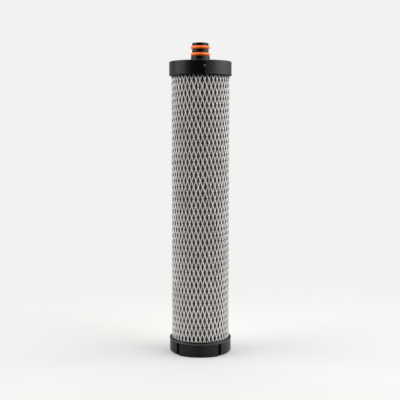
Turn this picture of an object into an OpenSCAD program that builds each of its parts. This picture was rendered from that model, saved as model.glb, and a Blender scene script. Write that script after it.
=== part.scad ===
// Cartridge of an inline water filter: a netted carbon block bonded between two moulded end caps.
// The top cap carries a hollow spigot with two seal rings. Water soaks in through the net and
// the block, gathers in the core tube and leaves through the bore of the spigot.
// Millimetres. The cartridge stands on its bottom cap at z = 0, with its axis on Z.

/* [Cartridge] */
// Length from the foot of the bottom cap to the tip of the spigot
cartridge_len = 251; // [200:1:330]
// Diameter over the widest ring of the end caps
cap_d = 50.5; // [42.5:0.5:66]
// Thickness of the adhesive bead between each cap and the block
potting_t = 2; // [1:0.1:4]
// Gap between the adhesive and the cap that it was poured into
potting_fit = 0.05; // [0.02:0.01:0.2]

/* [Top cap] */
// Height of the top cap, from the lip of its skirt to its flat top
top_cap_h = 11.3; // [8:0.1:20]
// Thickness of the top cap's disc
top_disc_t = 2.7; // [2:0.1:5]
// Wall of the skirt, without the lip bead
skirt_wall = 1.45; // [1.2:0.05:3]
// Height of the bead around the skirt's lip
lip_h = 1.35; // [0.8:0.05:3]
// How far the lip bead and the bottom cap's rim stand out from the wall
lip_proud = 0.15; // [0.05:0.05:0.5]
// Radius of the round between the skirt and the flat top
shoulder_r = 1; // [0.4:0.1:1.6]

/* [Spigot] */
// Diameter of the water passage through the spigot
bore_d = 8; // [5:0.1:8.4]
// Diameter of the plain collar at the foot of the spigot
collar_d = 15.2; // [14:0.1:20]
// Height of the collar
collar_h = 4.3; // [2:0.1:10]
// Diameter of the lands beside the seal grooves
land_d = 13.3; // [12.2:0.1:14]
// Height of the land between the two grooves
mid_land_h = 2.4; // [1.6:0.1:5]
// Height of the land above the upper groove
tip_land_h = 2.2; // [1.6:0.1:5]
// Chamfer around the tip
tip_chamfer = 0.6; // [0.2:0.1:1]
// Diameter at the floor of a seal groove
groove_d = 10.8; // [10.2:0.1:12]
// Thickness of a seal ring
ring_t = 2.4; // [1.6:0.1:3.2]
// Room above and below a seal ring in its groove
groove_room = 0.3; // [0.1:0.05:0.6]
// Gap between a seal ring and the floor of its groove
ring_fit = 0.05; // [0.02:0.01:0.2]

/* [Core] */
// Wall of the boss under the spigot and of the plug in the bottom cap
boss_wall = 1.4; // [1:0.1:2.5]
// How far the boss and the plug reach into the core tube
boss_reach = 6; // [3:0.5:15]
// Gap between the boss or the plug and the core tube
core_fit = 0.15; // [0.05:0.05:0.4]
// Wall of the core tube
core_wall = 1.2; // [0.8:0.1:2]
// Diameter of the holes through the core tube
core_hole_d = 5; // [2:0.5:8]
// Distance between the rows of holes along the core tube
core_hole_pitch = 9; // [9:0.5:20]
// Thickness of the felt sleeve around the core tube
felt_t = 1.15; // [0.5:0.05:3]
// Gap on each side of the felt sleeve
felt_fit = 0.05; // [0.02:0.01:0.2]

/* [Net] */
// Number of strands that lean each way
strand_count = 42; // [24:1:48]
// Height of one mesh of the net, from crossing to crossing
mesh_h = 9.8; // [8:0.1:20]
// Width of a strand
strand_w = 0.9; // [0.6:0.05:1.6]
// Thickness of a strand
strand_t = 0.45; // [0.3:0.05:0.8]
// Gap between the net and the skirts that cover its ends
net_fit = 0.2; // [0.1:0.05:0.5]
// Gap between the net and the carbon block
net_slack = 0.09; // [0.05:0.01:0.4]
// Gap between the two layers of strands
layer_gap = 0.03; // [0.02:0.01:0.2]

/* [Bottom cap] */
// Height of the bottom cap
bottom_cap_h = 12; // [8:0.1:20]
// Thickness of the bottom cap's disc
bottom_disc_t = 2.6; // [2:0.1:5]
// Height of the rounded rim around its lip
rim_h = 2; // [0.8:0.1:2.4]
// Angle from the middle of a grip pad to the groove at its end
pad_half_angle = 41.7; // [25:0.1:60]
// Turn of the two pads from the front and the back
pad_turn = -3.6; // [-45:0.1:45]
// How far the middle of a pad lies inside the wall
pad_inset = 0.2; // [0:0.05:0.6]
// How far the ends of a pad stand out from the wall
pad_end_proud = 0.45; // [0.2:0.05:0.8]
// Width of the grooves that end the pads
flute_w = 3.2; // [1:0.1:3.4]
// Depth of those grooves
flute_depth = 0.9; // [0.5:0.1:1.2]
// Chamfer around the foot, between the pads
foot_chamfer = 1.1; // [0.4:0.1:2]
// Diameter of the recess under the bottom cap
recess_d = 35; // [20:1:38]
// Depth of that recess
recess_depth = 0.8; // [0.3:0.1:1.2]
// Diameter of the moulding gate's mark in the recess
gate_d = 4; // [2:0.5:8]
// Height of the gate's mark
gate_h = 0.4; // [0.1:0.05:0.5]

/* [Hidden] */
$fn = 96;
eps = 0.01;          // overreach of a cut past the face it opens
weld = 0.4;          // how far a pad or a wall panel runs into the cup that it grows from
strand_steps = 16;   // straight runs that make up the curve of a strand
strand_sides = 4;    // a strand's section is a small rectangle
quarter_turn = 90;
half_turn = 180;
full_turn = 360;

// Radii, from the water passage outwards to the block's bore
bore_r = bore_d / 2;
boss_r = bore_r + boss_wall;
core_inner_r = boss_r + core_fit;
core_outer_r = core_inner_r + core_wall;
felt_inner_r = core_outer_r + felt_fit;
felt_outer_r = felt_inner_r + felt_t;
block_bore_r = felt_outer_r + felt_fit;

// Seal rings and their grooves
groove_h = ring_t + 2 * groove_room;
ring_mid_r = groove_d / 2 + ring_fit + ring_t / 2;

// Heights, counted up from the foot
bottom_disc_top = bottom_disc_t;
block_bottom = bottom_disc_top + potting_t;
plug_top = block_bottom + boss_reach;
spigot_len = collar_h + 2 * groove_h + mid_land_h + tip_land_h;
cap_top = cartridge_len - spigot_len;
top_disc_bottom = cap_top - top_disc_t;
block_top = top_disc_bottom - potting_t;
boss_bottom = block_top - boss_reach;
skirt_lip = cap_top - top_cap_h;
block_len = block_top - block_bottom;
collar_top = cap_top + collar_h;
mid_land_bottom = collar_top + groove_h;
mid_land_top = mid_land_bottom + mid_land_h;
tip_land_bottom = mid_land_top + groove_h;
lower_ring_z = collar_top + groove_h / 2;
upper_ring_z = mid_land_top + groove_h / 2;

// Radii, from the cap's wall inwards to the net and the block. A strand's straight runs cut inside
// its curve, so the layers and the block stand back by how far the runs dip there.
mesh_angle = full_turn / strand_count;
climb = mesh_angle / mesh_h;
step_h = block_len / strand_steps;
step_angle = climb * step_h;
cap_r = cap_d / 2;
skirt_r = cap_r - lip_proud;
skirt_inner_r = skirt_r - skirt_wall;
net_r = skirt_inner_r - net_fit;
lean_angle = atan(climb * net_r * PI / half_turn);
level_w = strand_w / cos(lean_angle);
strand_angle = level_w / net_r * half_turn / PI;
edge_dip = net_r * (1 - cos(step_angle / 2));
face_dip = net_r * (1 - cos((step_angle - strand_angle) / 2));
net_outer_layer_r = net_r - strand_t;
net_inner_layer_r = net_outer_layer_r - layer_gap - (edge_dip - face_dip) - strand_t;
block_r = net_inner_layer_r - edge_dip - net_slack;

// The bottom cap's wall: the floor of its grooves, and the root of what grows out beside them
flute_floor_r = skirt_r - flute_depth;
panel_root_r = flute_floor_r - weld;
panel_top = bottom_cap_h - rim_h + eps;

// A pad's curve runs through its middle and both of its ends, so it is flatter than the cap's
pad_middle_r = skirt_r - pad_inset;
pad_end_r = skirt_r + pad_end_proud;
pad_centre_back = (pad_end_r ^ 2 - pad_middle_r ^ 2)
    / (2 * (pad_middle_r - pad_end_r * cos(pad_half_angle)));
pad_curve_r = pad_middle_r + pad_centre_back;

// A plain ring or tube with square ends
module ring(outer_r, inner_r, bottom, top) {
    translate([0, 0, bottom])
        difference() {
            cylinder(r = outer_r, h = top - bottom);
            translate([0, 0, -eps]) cylinder(r = inner_r, h = top - bottom + 2 * eps);
        }
}

// A seal ring lying in its groove
module seal_ring(height) {
    translate([0, 0, height])
        rotate_extrude()
            translate([ring_mid_r, 0]) circle(d = ring_t);
}

// The adhesive between a cap's disc and the end of the block, around the boss or the plug
module potting(bottom) {
    ring(skirt_inner_r - potting_fit, boss_r + potting_fit, bottom, bottom + potting_t);
}

// A slice of the bottom cap's wall, centred on the front and cut by the outline drawn as a child
module wall_slice(middle, half_angle) {
    rotate([0, 0, middle - half_angle - quarter_turn])
        rotate_extrude(angle = 2 * half_angle) children();
}

// Outline of the top cap's skirt and disc, with the shoulder's round and the lip's bead
module top_shell_outline() {
    difference() {
        union() {
            translate([0, skirt_lip]) square([skirt_r, top_cap_h - shoulder_r]);
            translate([0, cap_top - shoulder_r - eps]) square([skirt_r - shoulder_r, shoulder_r + eps]);
            translate([skirt_r - shoulder_r, cap_top - shoulder_r]) circle(r = shoulder_r);
            translate([0, skirt_lip]) square([cap_r, lip_h]);
        }
        translate([-eps, skirt_lip - eps]) square([skirt_inner_r + eps, top_cap_h - top_disc_t + eps]);
    }
}

// Outline of the spigot above the cap, with its collar, its lands and its two seal grooves
module spigot_outline() {
    collar_r = collar_d / 2;
    land_r = land_d / 2;
    groove_r = groove_d / 2;
    polygon([
        [0, boss_bottom], [boss_r, boss_bottom],
        [boss_r, cap_top - eps], [collar_r, cap_top - eps],
        [collar_r, collar_top], [groove_r, collar_top],
        [groove_r, mid_land_bottom], [land_r, mid_land_bottom],
        [land_r, mid_land_top], [groove_r, mid_land_top],
        [groove_r, tip_land_bottom], [land_r, tip_land_bottom],
        [land_r, cartridge_len - tip_chamfer], [land_r - tip_chamfer, cartridge_len],
        [0, cartridge_len]
    ]);
}

module top_cap() {
    color("#1b1b1c")
        difference() {
            union() {
                rotate_extrude() top_shell_outline();
                rotate_extrude() spigot_outline();
            }
            translate([0, 0, boss_bottom - eps])
                cylinder(r = bore_r, h = cartridge_len - boss_bottom + 2 * eps);
        }
}

module upper_o_ring() {
    color("#ee5a1a") seal_ring(upper_ring_z);
}

module lower_o_ring() {
    color("#ee5a1a") seal_ring(lower_ring_z);
}

module top_potting() {
    color("#d8d2c0") potting(block_top);
}

module bottom_potting() {
    color("#d8d2c0") potting(bottom_disc_top);
}

// The corners of a strand's level section, at one angle and one height of its climb
function strand_section(inner_r, angle, height) = [
    for (corner = [[0, -1], [1, -1], [1, 1], [0, 1]])
        let (
            out = inner_r + corner[0] * strand_t,
            side = corner[1] * level_w / 2
        )
        [out * cos(angle) - side * sin(angle), out * sin(angle) + side * cos(angle), height]
];

// The faces of one strand, whose points start at the number given: two ends and four sides.
// Each side's square is split along the diagonal that keeps its curve the rounder.
function strand_faces(start, lean) = [
    [for (k = [0 : strand_sides - 1]) start + k],
    [for (k = [strand_sides - 1 : -1 : 0]) start + strand_sides * strand_steps + k],
    for (step = [0 : strand_steps - 1], k = [0 : strand_sides - 1])
        let (
            low_a = start + strand_sides * step + k,
            low_b = start + strand_sides * step + (k + 1) % strand_sides,
            high_a = low_a + strand_sides,
            high_b = low_b + strand_sides,
            side_leans_out = (k == 1 || k == 2) == (lean > 0)
        )
        each side_leans_out
            ? [[low_a, high_a, high_b], [low_a, high_b, low_b]]
            : [[low_a, high_a, low_b], [low_b, high_a, high_b]]
];

module outer_net() {
    strands = [
        for (i = [0 : strand_count - 1]) [i * mesh_angle, net_inner_layer_r, 1],
        for (i = [0 : strand_count - 1]) [i * mesh_angle, net_outer_layer_r, -1]
    ];
    color("#c4c3c1")
        translate([0, 0, block_bottom])
            polyhedron(
                points = [
                    for (s = strands, step = [0 : strand_steps])
                        each strand_section(s[1], s[0] + s[2] * step_angle * step, step_h * step)
                ],
                faces = [
                    for (n = [0 : len(strands) - 1])
                        each strand_faces(n * strand_sides * (strand_steps + 1), strands[n][2])
                ]
            );
}

module carbon_block() {
    color("#2b2622") ring(block_r, block_bore_r, block_bottom, block_top);
}

module core_felt() {
    color("#f1efe8") ring(felt_outer_r, felt_inner_r, block_bottom, block_top);
}

// Rows of holes through the core tube, each row at right angles to the next
module core_tube() {
    plain_end = boss_reach + core_hole_d;
    row_count = floor((block_len - 2 * plain_end) / core_hole_pitch) + 1;
    first_row = (block_bottom + block_top - (row_count - 1) * core_hole_pitch) / 2;
    color("#e6e6e4")
        difference() {
            ring(core_outer_r, core_inner_r, block_bottom, block_top);
            for (i = [0 : row_count - 1])
                translate([0, 0, first_row + i * core_hole_pitch])
                    rotate([quarter_turn, 0, quarter_turn * (i % 2)])
                        cylinder(d = core_hole_d, h = 2 * (core_outer_r + eps), center = true);
        }
}

// Outline of the bottom cap's cup: disc, wall inside the grooves, and the rounded rim at its lip
module bottom_cup_outline() {
    rim_bottom = bottom_cap_h - rim_h;
    rim_edge_r = min(rim_h, cap_r - skirt_inner_r) / 2;
    difference() {
        union() {
            square([flute_floor_r, bottom_cap_h - rim_edge_r]);
            translate([0, rim_bottom]) square([cap_r, rim_h - rim_edge_r]);
            translate([cap_r - rim_edge_r, bottom_cap_h - rim_edge_r]) circle(r = rim_edge_r);
            translate([skirt_inner_r, bottom_cap_h - rim_edge_r - eps])
                square([cap_r - skirt_inner_r - rim_edge_r, rim_edge_r + eps]);
        }
        translate([-eps, bottom_disc_top]) square([skirt_inner_r + eps, bottom_cap_h]);
    }
}

// The wall between the pads, with the chamfer around its foot
module side_panel_outline() {
    polygon([
        [panel_root_r, 0], [skirt_r - foot_chamfer, 0],
        [skirt_r, foot_chamfer], [skirt_r, panel_top],
        [panel_root_r, panel_top]
    ]);
}

// A grip pad: a slice of the wall whose outer face follows a flatter curve than the cap
module grip_pad(middle, half_angle) {
    intersection() {
        wall_slice(middle, half_angle)
            translate([panel_root_r, 0]) square([pad_curve_r - panel_root_r, panel_top]);
        rotate([0, 0, middle - quarter_turn])
            translate([-pad_centre_back, 0, -eps])
                cylinder(r = pad_curve_r, h = panel_top + 2 * eps);
    }
}

module bottom_cap() {
    flute_half_angle = asin(flute_w / 2 / skirt_r);
    panel_half_angle = quarter_turn - pad_half_angle - flute_half_angle;
    color("#1e1e1f")
        difference() {
            union() {
                rotate_extrude() bottom_cup_outline();
                for (turn = [0, half_turn]) {
                    grip_pad(pad_turn + turn, pad_half_angle - flute_half_angle);
                    wall_slice(pad_turn + turn + quarter_turn, panel_half_angle) side_panel_outline();
                }
                cylinder(r = boss_r, h = plug_top);
            }
            difference() {
                translate([0, 0, -eps]) cylinder(d = recess_d, h = recess_depth + eps);
                translate([0, 0, recess_depth - gate_h]) cylinder(d = gate_d, h = gate_h + eps);
            }
        }
}

bottom_cap();
bottom_potting();
core_tube();
core_felt();
carbon_block();
outer_net();
top_potting();
top_cap();
lower_o_ring();
upper_o_ring();
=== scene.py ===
import math

import bpy
import numpy as np
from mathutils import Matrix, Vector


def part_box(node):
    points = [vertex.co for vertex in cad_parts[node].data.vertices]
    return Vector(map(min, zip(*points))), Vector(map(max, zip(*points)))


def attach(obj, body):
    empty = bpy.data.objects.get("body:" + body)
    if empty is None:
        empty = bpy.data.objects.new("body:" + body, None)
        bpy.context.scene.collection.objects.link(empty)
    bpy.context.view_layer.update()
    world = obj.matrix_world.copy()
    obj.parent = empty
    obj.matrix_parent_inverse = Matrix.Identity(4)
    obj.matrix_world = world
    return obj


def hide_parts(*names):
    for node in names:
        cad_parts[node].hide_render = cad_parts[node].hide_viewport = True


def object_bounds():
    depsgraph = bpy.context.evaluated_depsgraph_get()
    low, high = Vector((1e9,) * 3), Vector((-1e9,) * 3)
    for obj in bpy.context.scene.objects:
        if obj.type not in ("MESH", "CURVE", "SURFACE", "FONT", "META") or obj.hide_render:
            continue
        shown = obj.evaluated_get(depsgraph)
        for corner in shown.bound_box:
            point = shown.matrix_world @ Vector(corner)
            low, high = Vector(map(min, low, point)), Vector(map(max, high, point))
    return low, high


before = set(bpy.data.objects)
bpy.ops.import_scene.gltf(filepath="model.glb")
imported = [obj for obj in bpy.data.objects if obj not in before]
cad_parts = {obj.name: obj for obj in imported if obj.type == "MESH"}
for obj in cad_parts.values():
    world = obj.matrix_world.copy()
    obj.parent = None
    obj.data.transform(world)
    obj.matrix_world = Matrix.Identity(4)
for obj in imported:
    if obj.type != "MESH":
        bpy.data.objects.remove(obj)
cad_low, cad_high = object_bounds()


# ---------------------------------------------------------------- camera
# A short telephoto stands a little above the middle of the cartridge and looks slightly down on
# it, so that the foot curves downwards and the top cap is seen from just below its edge.

camera_data = bpy.data.cameras.new("camera")
camera_data.sensor_width = 36.0
camera_data.lens = 72.4
camera_data.clip_start = 0.01
camera_data.clip_end = 50.0
camera = bpy.data.objects.new("camera", camera_data)
camera_tilt = math.radians(5.3)
camera.location = (-0.0003, -0.654, 0.1852)
camera.rotation_euler = (math.radians(90) - camera_tilt, 0, 0)
bpy.context.scene.collection.objects.link(camera)
bpy.context.scene.camera = camera


# ---------------------------------------------------------------- studio
# A pale paper floor that fades into a pale surround, a large softbox on each side, one overhead
# towards the back, and a small cool window in front on the right. Nothing bright stands behind the
# camera, so the middle of the cartridge is darker than its sides.

def add_node(tree, kind, inputs=None, **settings):
    """A shader node with its settings. Its inputs are given as values or as sockets to link."""
    made = tree.nodes.new(kind)
    for name, value in settings.items():
        setattr(made, name, value)
    for name, value in (inputs or {}).items():
        if isinstance(value, bpy.types.NodeSocket):
            tree.links.new(value, made.inputs[name])
        else:
            made.inputs[name].default_value = value
    return made


def ranged(tree, value, low, high, to_low=0.0, to_high=1.0, **settings):
    """A value carried from one range to another, and held at the ends of it."""
    return add_node(tree, "ShaderNodeMapRange", {
        "Value": value, "From Min": low, "From Max": high, "To Min": to_low, "To Max": to_high,
    }, **settings).outputs["Result"]


def softbox(name, azimuth, elevation, distance, width, height, radiance, colour=(1, 1, 1)):
    """A rectangular light that faces the middle of the cartridge, placed round it by two angles."""
    around, up = math.radians(azimuth), math.radians(elevation)
    data = bpy.data.lights.new(name, "AREA")
    data.shape = "RECTANGLE"
    data.size = width
    data.size_y = height
    data.energy = radiance * math.pi * width * height
    data.color = colour
    light = bpy.data.objects.new(name, data)
    away = np.array([
        math.sin(around) * math.cos(up), -math.cos(around) * math.cos(up), math.sin(up)
    ])
    middle = np.array([0, 0, cad_high.z / 2])
    light.location = middle + away * distance
    light.rotation_euler = (math.radians(90) - up, 0, around)
    light.visible_camera = False
    bpy.context.scene.collection.objects.link(light)
    return light


# Azimuth from the front and elevation in degrees, distance, width and height in metres, radiance.
softbox("softbox_right", 83, 32, 0.85, 0.85, 1.0, 3.4)
softbox("softbox_left", -80, 32, 0.85, 0.72, 1.0, 3.3)
softbox("softbox_overhead", 180, 68, 1.0, 1.1, 0.8, 1.8)
softbox("window_front", 46, 46, 0.80, 0.26, 0.26, 2.4, (0.80, 0.90, 1.0))

surround = (0.885, 0.885, 0.88, 1)
world = bpy.data.worlds.new("studio")
world.use_nodes = True
world.node_tree.nodes.clear()
direction = add_node(world.node_tree, "ShaderNodeTexCoord")
part = add_node(world.node_tree, "ShaderNodeSeparateXYZ", {
    "Vector": direction.outputs["Generated"],
})
behind = ranged(
    world.node_tree, part.outputs["Y"], -0.35, 0.45, 0.05, 0.6, interpolation_type="SMOOTHSTEP",
)
unseen = add_node(world.node_tree, "ShaderNodeBackground", {
    "Color": (1, 1, 1, 1), "Strength": behind,
})
seen = add_node(world.node_tree, "ShaderNodeBackground", {"Color": surround, "Strength": 1.0})
path = add_node(world.node_tree, "ShaderNodeLightPath")
either = add_node(world.node_tree, "ShaderNodeMixShader", {"Fac": path.outputs["Is Camera Ray"]})
world.node_tree.links.new(unseen.outputs["Background"], either.inputs[1])
world.node_tree.links.new(seen.outputs["Background"], either.inputs[2])
add_node(world.node_tree, "ShaderNodeOutputWorld", {"Surface": either.outputs["Shader"]})
bpy.context.scene.world = world
bpy.context.scene.view_settings.view_transform = "Standard"
bpy.context.scene.cycles.use_denoising = True

floor_r, floor_corners = 1.0, 64
floor_fade_start, floor_fade_end = 0.08, 0.42
corner_angles = np.linspace(0, 2 * math.pi, floor_corners, endpoint=False)
floor_rim = np.stack([
    floor_r * np.cos(corner_angles), floor_r * np.sin(corner_angles), np.zeros(floor_corners)
], 1)
floor_mesh = bpy.data.meshes.new("floor")
floor_mesh.from_pydata(floor_rim.tolist(), [], [list(range(floor_corners))])
floor = bpy.data.objects.new("floor", floor_mesh)
bpy.context.scene.collection.objects.link(floor)

paper = bpy.data.materials.new("floor_paper")
paper.use_nodes = True
paper.node_tree.nodes.clear()
place = add_node(paper.node_tree, "ShaderNodeTexCoord")
spread = add_node(paper.node_tree, "ShaderNodeVectorMath", {
    0: place.outputs["Object"],
}, operation="LENGTH")
fade = ranged(
    paper.node_tree, spread.outputs["Value"], floor_fade_start, floor_fade_end,
    interpolation_type="SMOOTHERSTEP",
)
white = add_node(paper.node_tree, "ShaderNodeBsdfDiffuse", {"Color": (0.622, 0.615, 0.602, 1)})
glow = add_node(paper.node_tree, "ShaderNodeEmission", {"Color": surround, "Strength": 1.0})
lit = add_node(paper.node_tree, "ShaderNodeMixShader", {"Fac": 0.2})
clear = add_node(paper.node_tree, "ShaderNodeBsdfTransparent")
faded = add_node(paper.node_tree, "ShaderNodeMixShader", {"Fac": fade})
paper.node_tree.links.new(white.outputs["BSDF"], lit.inputs[1])
paper.node_tree.links.new(glow.outputs["Emission"], lit.inputs[2])
paper.node_tree.links.new(lit.outputs["Shader"], faded.inputs[1])
paper.node_tree.links.new(clear.outputs["BSDF"], faded.inputs[2])
add_node(paper.node_tree, "ShaderNodeOutputMaterial", {"Surface": faded.outputs["Shader"]})
floor_mesh.materials.append(paper)


# ---------------------------------------------------------------- bottom cap
# The foot of the cartridge, moulded in black polypropylene: a cup that the net and the block are
# glued into, with a rounded rim and two flatter grip pads between upright grooves. Underneath are
# a shallow recess and the mark of the moulding gate.

MM = 0.001               # the pieces are worked out in millimetres and their meshes are in metres
BODY = "root"

def softened(corners, steps=4):
    """An outline with its corners rounded. Each corner is (r, z, round), and r and z may be arrays.
    A round of 0 stays a point. Any other becomes a curve that leaves the straight runs at that
    distance from the corner: point(t) = (1-t)^2 before + 2 t (1-t) corner + t^2 after.
    """
    size = np.broadcast_shapes(*[np.shape(v) for c in corners for v in c[:2]])
    spots = np.stack([
        np.stack([np.broadcast_to(c[0], size), np.broadcast_to(c[1], size)], -1) for c in corners
    ], -2).astype(float)
    t = np.linspace(0, 1, steps + 1)[:, None]
    found = []
    for k, (_, _, round_) in enumerate(corners):
        here = spots[..., k, None, :]
        if not round_:
            found.append(here)
            continue
        ends = []
        for other in (spots[..., k - 1, None, :], spots[..., (k + 1) % len(corners), None, :]):
            run = other - here
            ends.append(here + run * round_ / np.linalg.norm(run, axis=-1, keepdims=True))
        found.append((1 - t) ** 2 * ends[0] + 2 * t * (1 - t) * here + t ** 2 * ends[1])
    return np.concatenate(found, -2)


def grid_faces(rows, columns, wrap_rows, wrap_columns):
    """The four-cornered faces of a grid of points, whose opposite edges join where it wraps."""
    i = np.arange(rows if wrap_rows else rows - 1)[:, None]
    j = np.arange(columns if wrap_columns else columns - 1)[None, :]
    i2, j2 = (i + 1) % rows, (j + 1) % columns
    corners = [i * columns + j, i2 * columns + j, i2 * columns + j2, i * columns + j2]
    return np.stack(np.broadcast_arrays(*corners), -1).reshape(-1, 4)


def new_piece(name, points, faces, sharp_angle):
    """A piece that rides on the cartridge, from points in millimetres and faces' corner numbers."""
    mesh = bpy.data.meshes.new(name)
    places = (np.asarray(points).reshape(-1, 3) * MM).tolist()
    mesh.from_pydata(places, [], [list(face) for face in faces])
    mesh.update()
    mesh.shade_smooth()
    mesh.set_sharp_from_angle(angle=math.radians(sharp_angle))
    piece = bpy.data.objects.new(name, mesh)
    bpy.context.scene.collection.objects.link(piece)
    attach(piece, BODY)
    return piece


def turned(angles, radii, heights):
    """Carries an outline round the upright axis: point = (r sin a, -r cos a, z), a = 0 in front."""
    a = np.broadcast_to(angles[:, None], radii.shape)
    z = np.broadcast_to(heights, radii.shape)
    return np.stack([radii * np.sin(a), -radii * np.cos(a), z], -1)


def turned_solid(outlines, angles):
    """Points and faces of a shape whose outline runs from the axis out and back to the axis. The
    ends of the outline are single points on the axis, with a fan of three-cornered faces to each.
    """
    body = turned(angles, outlines[:, 1:-1, 0], outlines[:, 1:-1, 1])
    rows, columns = body.shape[:2]
    poles = np.array([[0, 0, outlines[0, 0, 1]], [0, 0, outlines[0, -1, 1]]])
    first, last = rows * columns, rows * columns + 1
    quads = grid_faces(rows, columns, True, False).tolist()
    near = np.arange(rows) * columns
    far = near + columns - 1
    start_fan = np.stack([np.full(rows, first), np.roll(near, -1), near], 1).tolist()
    end_fan = np.stack([np.full(rows, last), far, np.roll(far, -1)], 1).tolist()
    return np.concatenate([body.reshape(-1, 3), poles]), quads + start_fan + end_fan


cap_r = cad_high.x / MM
rim_proud, skirt_wall = 0.15, 1.45
skirt_r = cap_r - rim_proud
cup_inner_r = skirt_r - skirt_wall
bottom_cap_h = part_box("bottom_cap")[1].z / MM
plug_r, plug_top = 5.4, 10.6
foot_recess_r, foot_recess_h = 17.5, 0.8
gate_r, gate_h = 2.0, 0.4
cup_floor, rim_h = 2.6, 2.0
rim_bottom = bottom_cap_h - rim_h
pad_turn, pad_half_angle = math.radians(-3.6), math.radians(41.7)
pad_middle_r, pad_end_r = skirt_r - 0.2, skirt_r + 0.45
flute_half_w, flute_depth, flute_lip = 1.6, 0.9, 0.09
panel_chamfer, pad_chamfer, flute_chamfer = 1.1, 0.3, 0.15
rim_round = 1.1
crown_low, crown_high = bottom_cap_h - 0.75, bottom_cap_h - 0.35


def bottom_wall(angles):
    """Radius of the wall below the rim, and the size of its chamfer at the foot, at each angle. On
    a pad the radius follows a circle of its own, r = sqrt(R^2 - (e sin p)^2) - e cos p, whose
    centre lies e behind the axis; between pads it is the skirt's. The grooves are cut into both.
    """
    reach = 2 * (pad_middle_r - pad_end_r * math.cos(pad_half_angle))
    e = (pad_end_r ** 2 - pad_middle_r ** 2) / reach
    curve_r = pad_middle_r + e
    p = (angles - pad_turn + math.pi / 2) % math.pi - math.pi / 2
    on_pad = np.abs(p) < pad_half_angle
    pad_r = np.sqrt(curve_r ** 2 - (e * np.sin(p)) ** 2) - e * np.cos(p)
    radius = np.where(on_pad, pad_r, skirt_r)
    from_flute = np.abs(np.abs(p) - pad_half_angle) * skirt_r
    cut = np.clip((flute_half_w + flute_lip - from_flute) / (2 * flute_lip), 0, 1)
    cut = cut * cut * (3 - 2 * cut)
    radius = radius * (1 - cut) + (skirt_r - flute_depth) * cut
    chamfer = np.where(on_pad, pad_chamfer, panel_chamfer) * (1 - cut) + flute_chamfer * cut
    return radius, chamfer


# Columns of points stand close together at the edges of each groove.
flute_steps = np.concatenate([
    [0, 0.5, 1.0, flute_half_w + 0.45, flute_half_w + 0.85],
    flute_half_w + np.array([-0.25, -0.15, -0.09, -0.06, -0.03, 0, 0.03, 0.06, 0.09, 0.17]),
]) / skirt_r
flute_middles = np.array([
    pad_turn + side * pad_half_angle + half for side in (-1, 1) for half in (0, math.pi)
])
bottom_angles = np.unique(np.round(np.concatenate([
    np.linspace(0, 2 * math.pi, 240, endpoint=False),
    (flute_middles[:, None] + flute_steps).ravel(), (flute_middles[:, None] - flute_steps).ravel(),
]) % (2 * math.pi), 5))
wall_r, wall_chamfer = bottom_wall(bottom_angles)
bottom_outline = softened([
    (0, foot_recess_h - gate_h, 0),
    (gate_r, foot_recess_h - gate_h, 0.12),
    (gate_r + 0.2, foot_recess_h, 0.1),
    (foot_recess_r, foot_recess_h, 0.15),
    (foot_recess_r, 0, 0.2),
    (wall_r - wall_chamfer, 0, 0.1),
    (wall_r, wall_chamfer, 0.12),
    (wall_r, rim_bottom, 0.12),
    (cap_r, rim_bottom + 0.02, 0.12),
    (cap_r, bottom_cap_h, rim_round),
    (cup_inner_r, bottom_cap_h, 0.25),
    (cup_inner_r, cup_floor, 0.3),
    (plug_r, cup_floor, 0.3),
    (plug_r, plug_top, 0.4),
    (0, plug_top, 0),
])
points, faces = turned_solid(bottom_outline, bottom_angles)
bottom_cap = new_piece("bottom_cap_shell", points, faces, 38)
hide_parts("bottom_cap")


def new_group(name, inputs, outputs):
    """An empty shader group with named sockets: (group, its input node, its output node)."""
    group = bpy.data.node_groups.new(name, "ShaderNodeTree")
    for socket, kind, value in inputs:
        made = group.interface.new_socket(name=socket, in_out="INPUT", socket_type=kind)
        made.default_value = value
    for socket, kind in outputs:
        group.interface.new_socket(name=socket, in_out="OUTPUT", socket_type=kind)
    return group, group.nodes.new("NodeGroupInput"), group.nodes.new("NodeGroupOutput")


def new_material(name):
    """An empty material with its node tree and the place of a point on the piece."""
    material = bpy.data.materials.new(name)
    material.use_nodes = True
    material.node_tree.nodes.clear()
    spot = add_node(material.node_tree, "ShaderNodeTexCoord").outputs["Object"]
    return material, material.node_tree, spot


def use_group(tree, group, inputs):
    """The outputs of a shader group placed in a material with its own values."""
    return add_node(tree, "ShaderNodeGroup", inputs, node_tree=group).outputs


def mix_colours(tree, factor, first, second, **settings):
    """A colour between two others. The mix node's colours are at 6 and 7 in, and 2 out."""
    return add_node(tree, "ShaderNodeMix", {
        "Factor": factor, 6: first, 7: second,
    }, data_type="RGBA", **settings).outputs[2]


def mix_values(tree, factor, first, second):
    """A number between two others. The mix node's numbers are at 2 and 3 in, and 0 out."""
    return add_node(tree, "ShaderNodeMix", {"Factor": factor, 2: first, 3: second}).outputs[0]


def finish_material(material, surface, height=None, bump_strength=1.0, bump_distance=0.0001):
    """Closes a material with its main shader, and a bump where a height is given."""
    tree = material.node_tree
    shader = add_node(tree, "ShaderNodeBsdfPrincipled", surface)
    if height is not None:
        bump = add_node(tree, "ShaderNodeBump", {
            "Height": height, "Strength": bump_strength, "Distance": bump_distance,
        })
        tree.links.new(bump.outputs["Normal"], shader.inputs["Normal"])
    add_node(tree, "ShaderNodeOutputMaterial", {"Surface": shader.outputs["BSDF"]})
    return material


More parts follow.
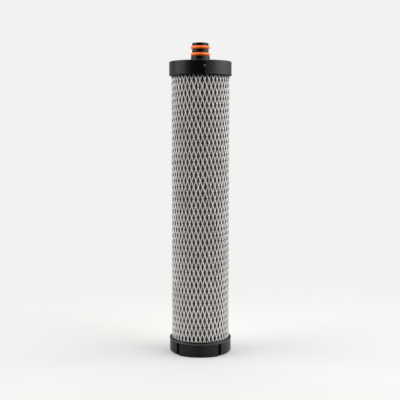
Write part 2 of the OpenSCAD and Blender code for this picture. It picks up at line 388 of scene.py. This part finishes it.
# Moulded black plastic: fine spark grain, faint flow clouds, and light dust and rubs.
moulded_skin, skin_in, skin_out = new_group("moulded_skin", [
    ("Place", "NodeSocketVector", (0, 0, 0)),
    ("Colour", "NodeSocketColor", (0.01, 0.01, 0.01, 1)),
    ("Gloss Roughness", "NodeSocketFloat", 0.4),
    ("Grain Size", "NodeSocketFloat", 9000.0),
    ("Rub Amount", "NodeSocketFloat", 0.3),
    ("Dust Amount", "NodeSocketFloat", 0.2),
], [
    ("Colour", "NodeSocketColor"), ("Roughness", "NodeSocketFloat"), ("Height", "NodeSocketFloat"),
])
grain = add_node(moulded_skin, "ShaderNodeTexNoise", {
    "Vector": skin_in.outputs["Place"], "Scale": skin_in.outputs["Grain Size"], "Detail": 3.0,
})
clouds = add_node(moulded_skin, "ShaderNodeTexNoise", {
    "Vector": skin_in.outputs["Place"], "Scale": 95.0, "Detail": 4.0, "Roughness": 0.6,
})
stretched = add_node(moulded_skin, "ShaderNodeVectorMath", {
    0: skin_in.outputs["Place"], 1: (160.0, 160.0, 1100.0),
}, operation="MULTIPLY")
rub_noise = add_node(moulded_skin, "ShaderNodeTexNoise", {
    "Vector": stretched.outputs["Vector"], "Scale": 1.0, "Detail": 6.0, "Roughness": 0.7,
})
rubs = ranged(moulded_skin, rub_noise.outputs["Fac"], 0.56, 0.78)
rub = add_node(moulded_skin, "ShaderNodeMath", {
    0: rubs, 1: skin_in.outputs["Rub Amount"],
}, operation="MULTIPLY")
dust_noise = add_node(moulded_skin, "ShaderNodeTexNoise", {
    "Vector": skin_in.outputs["Place"], "Scale": 1700.0, "Detail": 2.0,
})
specks = ranged(moulded_skin, dust_noise.outputs["Fac"], 0.70, 0.76)
dust = add_node(moulded_skin, "ShaderNodeMath", {
    0: specks, 1: skin_in.outputs["Dust Amount"],
}, operation="MULTIPLY")
cloudy = mix_colours(
    moulded_skin, clouds.outputs["Fac"], skin_in.outputs["Colour"], (0.62, 0.62, 0.64, 1),
    blend_type="OVERLAY",
)
rubbed = mix_colours(
    moulded_skin, rub.outputs["Value"], cloudy, (0.085, 0.085, 0.088, 1),
)
dusty = mix_colours(moulded_skin, dust.outputs["Value"], rubbed, (0.22, 0.215, 0.20, 1))
cloud_gloss = ranged(moulded_skin, clouds.outputs["Fac"], 0.0, 1.0, -0.05, 0.07)
gloss_sum = add_node(moulded_skin, "ShaderNodeMath", {
    0: skin_in.outputs["Gloss Roughness"], 1: cloud_gloss,
}, operation="ADD")
rub_gloss = add_node(moulded_skin, "ShaderNodeMath", {
    0: rub.outputs["Value"], 1: 0.35, 2: gloss_sum.outputs["Value"],
}, operation="MULTIPLY_ADD", use_clamp=True)
moulded_skin.links.new(dusty, skin_out.inputs["Colour"])
moulded_skin.links.new(rub_gloss.outputs["Value"], skin_out.inputs["Roughness"])
moulded_skin.links.new(grain.outputs["Fac"], skin_out.inputs["Height"])

# Painted light in the specular level: a painted highlight on the rounded face of the rim and on
# the wall to the right of the middle, and painted shade on the rim's crown and in the grooves.
foot_plastic, tree, spot = new_material("foot_black_plastic")
off_axis = add_node(tree, "ShaderNodeVectorMath", {0: spot, 1: (1, 1, 0)}, operation="MULTIPLY")
axis_gap = add_node(tree, "ShaderNodeVectorMath", {
    0: off_axis.outputs["Vector"],
}, operation="LENGTH")
in_flute = ranged(
    tree, axis_gap.outputs["Value"], (skirt_r - 0.14) * MM, (skirt_r - 0.4 * flute_depth) * MM,
)
spot_height = add_node(tree, "ShaderNodeSeparateXYZ", {"Vector": spot})
below_rim = add_node(tree, "ShaderNodeMath", {
    0: spot_height.outputs["Z"], 1: (rim_bottom + 0.1) * MM,
}, operation="LESS_THAN")
shaded = add_node(tree, "ShaderNodeMath", {
    0: in_flute, 1: below_rim.outputs["Value"],
}, operation="MULTIPLY")
rim_top = ranged(tree, spot_height.outputs["Z"], crown_low * MM, crown_high * MM, 0.95, 0.03)
on_rim = add_node(tree, "ShaderNodeMath", {
    0: spot_height.outputs["Z"], 1: (rim_bottom + 0.1) * MM,
}, operation="GREATER_THAN")
wall_painted_highlight = ranged(tree, spot_height.outputs["X"], 0.0, 0.8 * skirt_r * MM, 0.25, 0.44)
rim_painted_highlight = mix_values(tree, on_rim.outputs["Value"], wall_painted_highlight, rim_top)
foot_painted_light = mix_values(tree, shaded.outputs["Value"], rim_painted_highlight, 0.02)
skin = use_group(tree, moulded_skin, {
    "Place": spot, "Colour": (0.0030, 0.0030, 0.0032, 1), "Gloss Roughness": 0.42,
    "Grain Size": 5200.0, "Rub Amount": 0.22, "Dust Amount": 0.35,
})
finish_material(foot_plastic, {
    "Base Color": skin["Colour"], "Roughness": skin["Roughness"],
    "Specular IOR Level": foot_painted_light,
}, skin["Height"], 0.35, 0.00006)
bottom_cap.data.materials.append(foot_plastic)


# ---------------------------------------------------------------- adhesive beads
# Hot-melt adhesive, poured into each cap as a flat ring that the block and the net are pressed
# into. Both rings are closed in by the caps.

def adhesive(name):
    """Amber-white melt with a faint bloom and a slightly rippled skin."""
    material, tree, spot = new_material(name)
    bloom = add_node(tree, "ShaderNodeTexNoise", {"Vector": spot, "Scale": 220.0, "Detail": 5.0})
    tone = mix_colours(tree, bloom.outputs["Fac"], (0.50, 0.45, 0.33, 1), (0.66, 0.62, 0.52, 1))
    shine = ranged(tree, bloom.outputs["Fac"], 0.0, 1.0, 0.22, 0.5)
    return finish_material(material, {
        "Base Color": tone, "Roughness": shine, "Subsurface Weight": 0.2,
        "Subsurface Radius": (0.002, 0.0015, 0.001),
    }, bloom.outputs["Fac"], 0.4, 0.0004)


melt = adhesive("hot_melt_adhesive")
for node_name in ("bottom_potting", "top_potting"):
    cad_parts[node_name].data.materials.clear()
    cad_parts[node_name].data.materials.append(melt)


# ---------------------------------------------------------------- core tube and felt
# A perforated tube of natural polypropylene down the middle, wrapped in a sleeve of spun felt that
# keeps carbon dust out of the water. Both are pushed into the block's bore.

core_plastic, tree, spot = new_material("core_natural_plastic")
streaks = add_node(tree, "ShaderNodeMapping", {"Vector": spot, "Scale": (400.0, 400.0, 30.0)})
flow = add_node(tree, "ShaderNodeTexNoise", {
    "Vector": streaks.outputs["Vector"], "Scale": 1.0, "Detail": 4.0,
})
milky = mix_colours(tree, flow.outputs["Fac"], (0.66, 0.66, 0.64, 1), (0.80, 0.80, 0.79, 1))
sheen = ranged(tree, flow.outputs["Fac"], 0.0, 1.0, 0.3, 0.5)
finish_material(core_plastic, {
    "Base Color": milky, "Roughness": sheen,
}, flow.outputs["Fac"], 0.3, 0.0002)

felt, tree, spot = new_material("core_spun_felt")
lie = add_node(tree, "ShaderNodeMapping", {"Vector": spot, "Scale": (2600.0, 2600.0, 500.0)})
fibres = add_node(tree, "ShaderNodeTexNoise", {
    "Vector": lie.outputs["Vector"], "Scale": 1.0, "Detail": 7.0, "Roughness": 0.7,
    "Distortion": 1.4,
})
fluff = mix_colours(tree, fibres.outputs["Fac"], (0.60, 0.59, 0.55, 1), (0.86, 0.85, 0.81, 1))
nap = ranged(tree, fibres.outputs["Fac"], 0.0, 1.0, 0.85, 1.0)
finish_material(felt, {
    "Base Color": fluff, "Roughness": nap, "Sheen Weight": 0.3,
}, fibres.outputs["Fac"], 0.9, 0.0003)
for node_name, material in (("core_tube", core_plastic), ("core_felt", felt)):
    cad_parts[node_name].data.materials.clear()
    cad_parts[node_name].data.materials.append(material)


# ---------------------------------------------------------------- carbon block
# Ground coconut-shell carbon pressed with a plastic binder into a thick tube. Its face is a rough
# brown-black mass of grains, with faint upright drag marks from the extruder's die. It is darker
# just above the bottom cap, and under the top cap's lip it carries painted shade.

skirt_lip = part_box("top_cap")[0].z / MM
foot_dark, foot_clear = bottom_cap_h + 2.8, bottom_cap_h + 5.2
head_dark, head_clear = skirt_lip - 1.2, skirt_lip - 3.6
carbon, tree, spot = new_material("pressed_carbon")
grains = add_node(tree, "ShaderNodeTexVoronoi", {
    "Vector": spot, "Scale": 2300.0, "Randomness": 1.0,
})
clumps = add_node(tree, "ShaderNodeTexNoise", {
    "Vector": spot, "Scale": 420.0, "Detail": 5.0, "Roughness": 0.65,
})
drag_place = add_node(tree, "ShaderNodeMapping", {"Vector": spot, "Scale": (900.0, 900.0, 14.0)})
drag = add_node(tree, "ShaderNodeTexNoise", {
    "Vector": drag_place.outputs["Vector"], "Scale": 1.0, "Detail": 3.0,
})
body_tone = mix_colours(
    tree, clumps.outputs["Fac"], (0.044, 0.031, 0.021, 1), (0.190, 0.138, 0.097, 1),
)
glint = ranged(tree, grains.outputs["Color"], 0.86, 0.97, 0.0, 0.6)
grain_tone = mix_colours(tree, glint, body_tone, (0.13, 0.11, 0.09, 1))
block_place = add_node(tree, "ShaderNodeSeparateXYZ", {"Vector": spot})
# Darker just above the bottom cap; under the top cap's lip the darkening is painted shade.
dark_above_foot = ranged(
    tree, block_place.outputs["Z"], foot_dark * MM, foot_clear * MM, 0.08, 1.0,
    interpolation_type="SMOOTHSTEP",
)
head_shade = ranged(
    tree, block_place.outputs["Z"], head_dark * MM, head_clear * MM, 0.14, 1.0,
    interpolation_type="SMOOTHSTEP",
)
end_darkening = add_node(tree, "ShaderNodeMath", {
    0: dark_above_foot, 1: head_shade,
}, operation="MULTIPLY")
end_darkened = add_node(tree, "ShaderNodeVectorMath", {
    0: grain_tone, "Scale": end_darkening.outputs["Value"],
}, operation="SCALE")
grain_rough = ranged(tree, grains.outputs["Color"], 0.8, 1.0, 0.88, 0.5)
relief = add_node(tree, "ShaderNodeMath", {
    0: clumps.outputs["Fac"], 1: 1.6, 2: grains.outputs["Distance"],
}, operation="MULTIPLY_ADD")
dragged = add_node(tree, "ShaderNodeMath", {
    0: drag.outputs["Fac"], 1: 0.5, 2: relief.outputs["Value"],
}, operation="MULTIPLY_ADD")
finish_material(carbon, {
    "Base Color": end_darkened.outputs["Vector"], "Roughness": grain_rough,
    "Sheen Weight": 0.9, "Sheen Roughness": 0.45, "Sheen Tint": (0.75, 0.66, 0.56, 1),
}, dragged.outputs["Value"], 0.9, 0.00022)
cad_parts["carbon_block"].data.materials.clear()
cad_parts["carbon_block"].data.materials.append(carbon)


# ---------------------------------------------------------------- net
# A tube of extruded polyethylene netting, slipped over the block before the caps go on. It comes
# from two rings of turning dies, so the strands that lean one way lie on those that lean the other
# way, and they are melted together where they cross.

block_low, block_high = [corner.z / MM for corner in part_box("outer_net")]
net_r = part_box("outer_net")[1].x / MM
strand_count = 42
strand_w, strand_t = 0.86, 0.48
mesh_h = 9.8
climb = 2 * math.pi / strand_count / mesh_h
strand_lean = math.atan(climb * net_r)
steps_between_crossings, strand_sides = 5, 8
melt_reach, melt_widening = 0.95, 0.20
melt_sink, layer_spacing, outer_inset = 0.10, 0.38, 0.255
creep_round, creep_up, creep_out = 0.0011, 0.07, 0.014
pinch_turn, pinch_height = math.radians(-4), block_high - 15
slack_turn, slack_height = math.radians(17), 135
net_random = np.random.default_rng(11)
waves = []
for _ in range(9):
    turns = int(net_random.integers(1, 6))
    rise = net_random.uniform(0.02, 0.11)
    waves.append((turns, rise, *net_random.uniform(0, 2 * math.pi, 2)))


def net_wander(angle, height):
    """How far the net has crept from its even pattern at a place: round (radians), up (mm) and out
    (mm), each a sum of slow waves round and along the tube. A pinch under the top cap, and a slack
    patch on the right, come from the net having been pulled on over the block.
    """
    around, up, out = np.zeros_like(angle), np.zeros_like(angle), np.zeros_like(angle)
    for turns, rise, phase_a, phase_b in waves:
        wave = turns * angle + rise * height
        around += creep_round * np.sin(wave + phase_a)
        up += creep_up * np.sin(wave + phase_b)
        out += creep_out * np.sin(2 * wave + phase_a - phase_b)
    toward = (angle - pinch_turn + math.pi) % (2 * math.pi) - math.pi
    pinch = np.exp(-(toward / 0.11) ** 2 - ((height - pinch_height) / 12) ** 2)
    around -= 0.45 * toward * pinch
    up -= 0.7 * pinch
    toward = (angle - slack_turn + math.pi) % (2 * math.pi) - math.pi
    slack = np.exp(-(toward / 0.13) ** 2 - ((height - slack_height) / 15) ** 2)
    around -= 0.5 * toward * slack
    up += 1.3 * slack
    return around, up, out


def strand_layer(lean, middle_r, sink):
    """Points and faces of the strands that lean one way. Strand i climbs along angle = i pitch +
    lean climb z. Round its middle line runs a flat oval: side = w/2 cos q along the net's surface,
    out = t/2 sin q across it. Near a crossing, an even distance apart, the strand widens and sinks
    towards the other layer.
    """
    length = block_high - block_low
    crossing_gap = mesh_h / 2
    runs = int(round(length / crossing_gap)) * steps_between_crossings
    i = np.arange(strand_count)[:, None, None]
    z = np.linspace(0, length, runs + 1)[None, :, None]
    q = np.linspace(0, 2 * math.pi, strand_sides, endpoint=False)[None, None, :]
    from_crossing = (z + crossing_gap / 2) % crossing_gap - crossing_gap / 2
    melt = np.exp(-(from_crossing / melt_reach) ** 2)
    uneven = net_random.normal(0, 0.035, (strand_count, 1, 1))
    width = strand_w * (1 + uneven + melt_widening * melt)
    side = width / 2 * np.sign(np.cos(q)) * np.abs(np.cos(q)) ** 0.8
    out = strand_t / 2 * np.sign(np.sin(q)) * np.abs(np.sin(q)) ** 0.8
    angle = i * 2 * math.pi / strand_count + lean * climb * z
    angle = angle + side * math.cos(strand_lean) / middle_r
    height = block_low + z - lean * side * math.sin(strand_lean)
    radius = middle_r + sink * melt + out
    around, up, swell = net_wander(angle, height)
    held = np.clip(np.minimum(height - block_low, block_high - height) / 6, 0, 1)
    angle = angle + around
    height = np.clip(height + up * held, block_low, block_high)
    radius = np.broadcast_to(radius + np.clip(swell, -0.05, 0.04) * held, angle.shape)
    points = np.stack([radius * np.sin(angle), -radius * np.cos(angle), height], -1)
    per_strand = (runs + 1) * strand_sides
    skin = grid_faces(runs + 1, strand_sides, False, True)
    starts = np.arange(strand_count)[:, None, None] * per_strand
    faces = (skin[None] + starts).reshape(-1, 4).tolist()
    ring = np.arange(strand_sides)
    ends = np.stack([ring, per_strand - strand_sides + ring[::-1]])[None] + starts
    return points, faces + ends.reshape(-1, strand_sides).tolist()


net_plastic, tree, spot = new_material("net_polyethylene")
handling = add_node(tree, "ShaderNodeTexNoise", {
    "Vector": spot, "Scale": 75.0, "Detail": 5.0, "Roughness": 0.62,
})
fine_mottle = add_node(tree, "ShaderNodeTexNoise", {"Vector": spot, "Scale": 900.0, "Detail": 3.0})
draw_place = add_node(tree, "ShaderNodeMapping", {"Vector": spot, "Scale": (3000.0, 3000.0, 260.0)})
draw_lines = add_node(tree, "ShaderNodeTexNoise", {
    "Vector": draw_place.outputs["Vector"], "Scale": 1.0, "Detail": 2.0,
})
clean = mix_colours(tree, fine_mottle.outputs["Fac"], (0.71, 0.70, 0.685, 1), (0.88, 0.87, 0.85, 1))
grime = ranged(tree, handling.outputs["Fac"], 0.46, 0.74, 0.0, 0.30)
grimy = mix_colours(tree, grime, clean, (0.30, 0.285, 0.265, 1))
net_place = add_node(tree, "ShaderNodeSeparateXYZ", {"Vector": spot})
# Painted shade: the strands are darkened just under the top cap's lip, where its overhang shades
# them.
under_lip = ranged(
    tree, net_place.outputs["Z"], (skirt_lip - 0.5) * MM, (skirt_lip - 3.0) * MM, 0.16, 1.0,
    interpolation_type="SMOOTHSTEP",
)
shaded_under_lip = add_node(tree, "ShaderNodeVectorMath", {
    0: grimy, "Scale": under_lip,
}, operation="SCALE")
waxy = ranged(tree, handling.outputs["Fac"], 0.0, 1.0, 0.34, 0.58)
finish_material(net_plastic, {
    "Base Color": shaded_under_lip.outputs["Vector"], "Roughness": waxy,
}, draw_lines.outputs["Fac"], 0.5, 0.00012)

outer_middle_r = net_r - outer_inset
for name, lean, middle_r, sink in (
    ("net_outer_strands", -1, outer_middle_r, -melt_sink),
    ("net_inner_strands", 1, outer_middle_r - layer_spacing, melt_sink),
):
    points, faces = strand_layer(lean, middle_r, sink)
    strands = new_piece(name, points, faces, 60)
    strands.data.materials.append(net_plastic)
    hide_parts("outer_net")


# ---------------------------------------------------------------- top cap
# One black moulding: the cap that closes the block, and the hollow spigot that pushes into the
# housing. The two halves of its mould meet in a fine flash line up the skirt. The right half is
# rougher, and it carries painted light, a lighter tone and a stronger specular level, while the
# left half carries painted shade, a darker tone.

def turned_ring(outlines, angles):
    """Points and faces of a shape whose outline is a closed loop clear of the axis."""
    body = turned(angles, outlines[..., 0], outlines[..., 1])
    return body, grid_faces(*body.shape[:2], True, True)


top_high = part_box("top_cap")[1].z / MM
bore_r, boss_r = 4.0, 5.4
collar_r, land_r, groove_floor_r = 7.6, 6.65, 5.4
collar_h, groove_h, mid_land_h, tip_land_h = 4.3, 3.0, 2.4, 2.2
spigot_foot = top_high - collar_h - 2 * groove_h - mid_land_h - tip_land_h
lip_h, disc_t, boss_h = 1.35, 2.7, 8.0
lip_top = skirt_lip + lip_h
disc_underside = spigot_foot - disc_t
boss_low = disc_underside - boss_h
collar_top = spigot_foot + collar_h
mid_land_low = collar_top + groove_h
mid_land_high = mid_land_low + mid_land_h
tip_land_low = mid_land_high + groove_h
flash_turn = math.radians(9)
flash_w, flash_h = 0.16, 0.06

flash_steps = np.array([0, 0.05, 0.1, 0.16, 0.24, 0.34, 0.5]) / skirt_r
flash_middles = np.array([flash_turn, flash_turn + math.pi])
top_angles = np.unique(np.round(np.concatenate([
    np.linspace(0, 2 * math.pi, 256, endpoint=False),
    (flash_middles[:, None] + flash_steps).ravel(), (flash_middles[:, None] - flash_steps).ravel(),
]) % (2 * math.pi), 5))
top_outline = softened([
    (bore_r, boss_low, 0.2), (boss_r, boss_low, 0.2),
    (boss_r, disc_underside, 0.3), (cup_inner_r, disc_underside, 0.3),
    (cup_inner_r, skirt_lip, 0.25), (cap_r, skirt_lip, 0.45),
    (cap_r, lip_top, 0.18), (skirt_r, lip_top + 0.12, 0.12),
    (skirt_r, spigot_foot, 1.0), (collar_r, spigot_foot, 0.25),
    (collar_r, collar_top, 0.25), (groove_floor_r, collar_top, 0.15),
    (groove_floor_r, mid_land_low, 0.15), (land_r, mid_land_low, 0.18),
    (land_r, mid_land_high, 0.18), (groove_floor_r, mid_land_high, 0.15),
    (groove_floor_r, tip_land_low, 0.15), (land_r, tip_land_low, 0.18),
    (land_r, top_high - 0.55, 0.3), (land_r - 0.55, top_high, 0.3),
    (bore_r + 0.4, top_high, 0.12), (bore_r, top_high - 0.4, 0.12),
], 5)
top_r = np.broadcast_to(top_outline[..., 0], (len(top_angles), top_outline.shape[-2])).copy()
from_flash = (top_angles - flash_turn + math.pi / 2) % math.pi - math.pi / 2
flash = flash_h * np.exp(-(from_flash * skirt_r / flash_w) ** 2)
on_skirt = (top_outline[:, 0] > skirt_r - 0.4) & (top_outline[:, 1] > lip_top - 0.2)
top_r += flash[:, None] * on_skirt[None, :]
top_z = np.broadcast_to(top_outline[:, 1], top_r.shape)
points, faces = turned_ring(np.stack([top_r, top_z], -1), top_angles)
top_cap = new_piece("top_cap_moulding", points, faces, 38)
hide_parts("top_cap")

cap_plastic, tree, spot = new_material("cap_black_plastic")
# Painted glint: a small light grey spot painted into the colour of the skirt near the flash line.
glint_turn, glint_height = math.radians(7.6), spigot_foot - 4.6
glint_place = (
    math.sin(glint_turn) * skirt_r * MM, -math.cos(glint_turn) * skirt_r * MM, glint_height * MM,
)
across = (math.cos(flash_turn), math.sin(flash_turn), 0)
# Painted light: right of the flash line a lighter tone and stronger specular level, left of it a
# darker tone.
side_of_flash = add_node(tree, "ShaderNodeVectorMath", {
    0: spot, 1: across,
}, operation="DOT_PRODUCT")
rough_lit_half = ranged(tree, side_of_flash.outputs["Value"], -0.0001, 0.0003)
half_gloss = ranged(tree, rough_lit_half, 0.0, 1.0, 0.36, 0.48)
painted_light_halves = mix_colours(
    tree, rough_lit_half, (0.0015, 0.0015, 0.0016, 1), (0.006, 0.006, 0.0063, 1),
)
skin = use_group(tree, moulded_skin, {
    "Place": spot, "Colour": painted_light_halves, "Gloss Roughness": half_gloss,
    "Grain Size": 5200.0, "Rub Amount": 0.25, "Dust Amount": 0.4,
})
glint_gap = add_node(tree, "ShaderNodeVectorMath", {0: spot, 1: glint_place}, operation="SUBTRACT")
glint_shape = add_node(tree, "ShaderNodeVectorMath", {
    0: glint_gap.outputs["Vector"], 1: (1.0, 1.0, 0.62),
}, operation="MULTIPLY")
glint_far = add_node(tree, "ShaderNodeVectorMath", {
    0: glint_shape.outputs["Vector"],
}, operation="LENGTH")
painted_glint = ranged(tree, glint_far.outputs["Value"], 0.00055, 0.00035)
painted_half_highlight = ranged(tree, rough_lit_half, 0.0, 1.0, 0.20, 0.38)
with_painted_glint = mix_colours(tree, painted_glint, skin["Colour"], (0.30, 0.30, 0.30, 1))
finish_material(cap_plastic, {
    "Base Color": with_painted_glint, "Roughness": skin["Roughness"],
    "Specular IOR Level": painted_half_highlight,
}, skin["Height"], 0.25, 0.00005)
top_cap.data.materials.append(cap_plastic)


# ---------------------------------------------------------------- seal rings
# Two orange silicone rings, rolled over the tip of the spigot into their grooves. They are lightly
# greased, and they carry a painted glow: their dye colour is also emitted as light.

ring_t = 2.4
ring_fit, seat_flat = 0.05, 0.05
ring_middle_r = groove_floor_r + ring_fit + ring_t / 2
ring_turns, ring_sides = 128, 32


def seal_ring(name, height, node_name):
    """A round cord bent into a ring: point = (R + s cos q, s sin q), turned round the axis and
    pressed a little flat against the floor of its groove.
    """
    q = np.linspace(0, 2 * math.pi, ring_sides, endpoint=False)
    seat = seat_flat * np.exp(-((q - math.pi) / 0.5) ** 2)
    outline = np.stack([
        ring_middle_r + (ring_t / 2 - seat) * np.cos(q), height + ring_t / 2 * np.sin(q)
    ], -1)
    angles = np.linspace(0, 2 * math.pi, ring_turns, endpoint=False)
    outlines = np.broadcast_to(outline, (ring_turns, *outline.shape))
    points, faces = turned_ring(outlines, angles)
    ring = new_piece(name, points, faces, 180)
    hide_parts(node_name)
    return ring


silicone, tree, spot = new_material("orange_silicone")
smear = add_node(tree, "ShaderNodeTexNoise", {"Vector": spot, "Scale": 260.0, "Detail": 4.0})
lint = add_node(tree, "ShaderNodeTexNoise", {"Vector": spot, "Scale": 2400.0, "Detail": 2.0})
dye_and_glow = mix_colours(tree, smear.outputs["Fac"], (0.95, 0.155, 0.012, 1), (1.0, 0.175, 0.015, 1))
grease = ranged(tree, smear.outputs["Fac"], 0.3, 0.7, 0.28, 0.5)
# Painted glow: the rings emit their own dye colour, though they are no lamp.
finish_material(silicone, {
    "Base Color": dye_and_glow, "Roughness": grease, "Subsurface Weight": 0.15,
    "Subsurface Radius": (0.0012, 0.0005, 0.0002), "Subsurface Scale": 1.0,
    "Emission Color": dye_and_glow, "Emission Strength": 0.24,
}, lint.outputs["Fac"], 0.03, 0.00002)
for name, height, node_name in (
    ("seal_ring_lower", collar_top + groove_h / 2, "lower_o_ring"),
    ("seal_ring_upper", mid_land_high + groove_h / 2, "upper_o_ring"),
):
    seal_ring(name, height, node_name).data.materials.append(silicone)
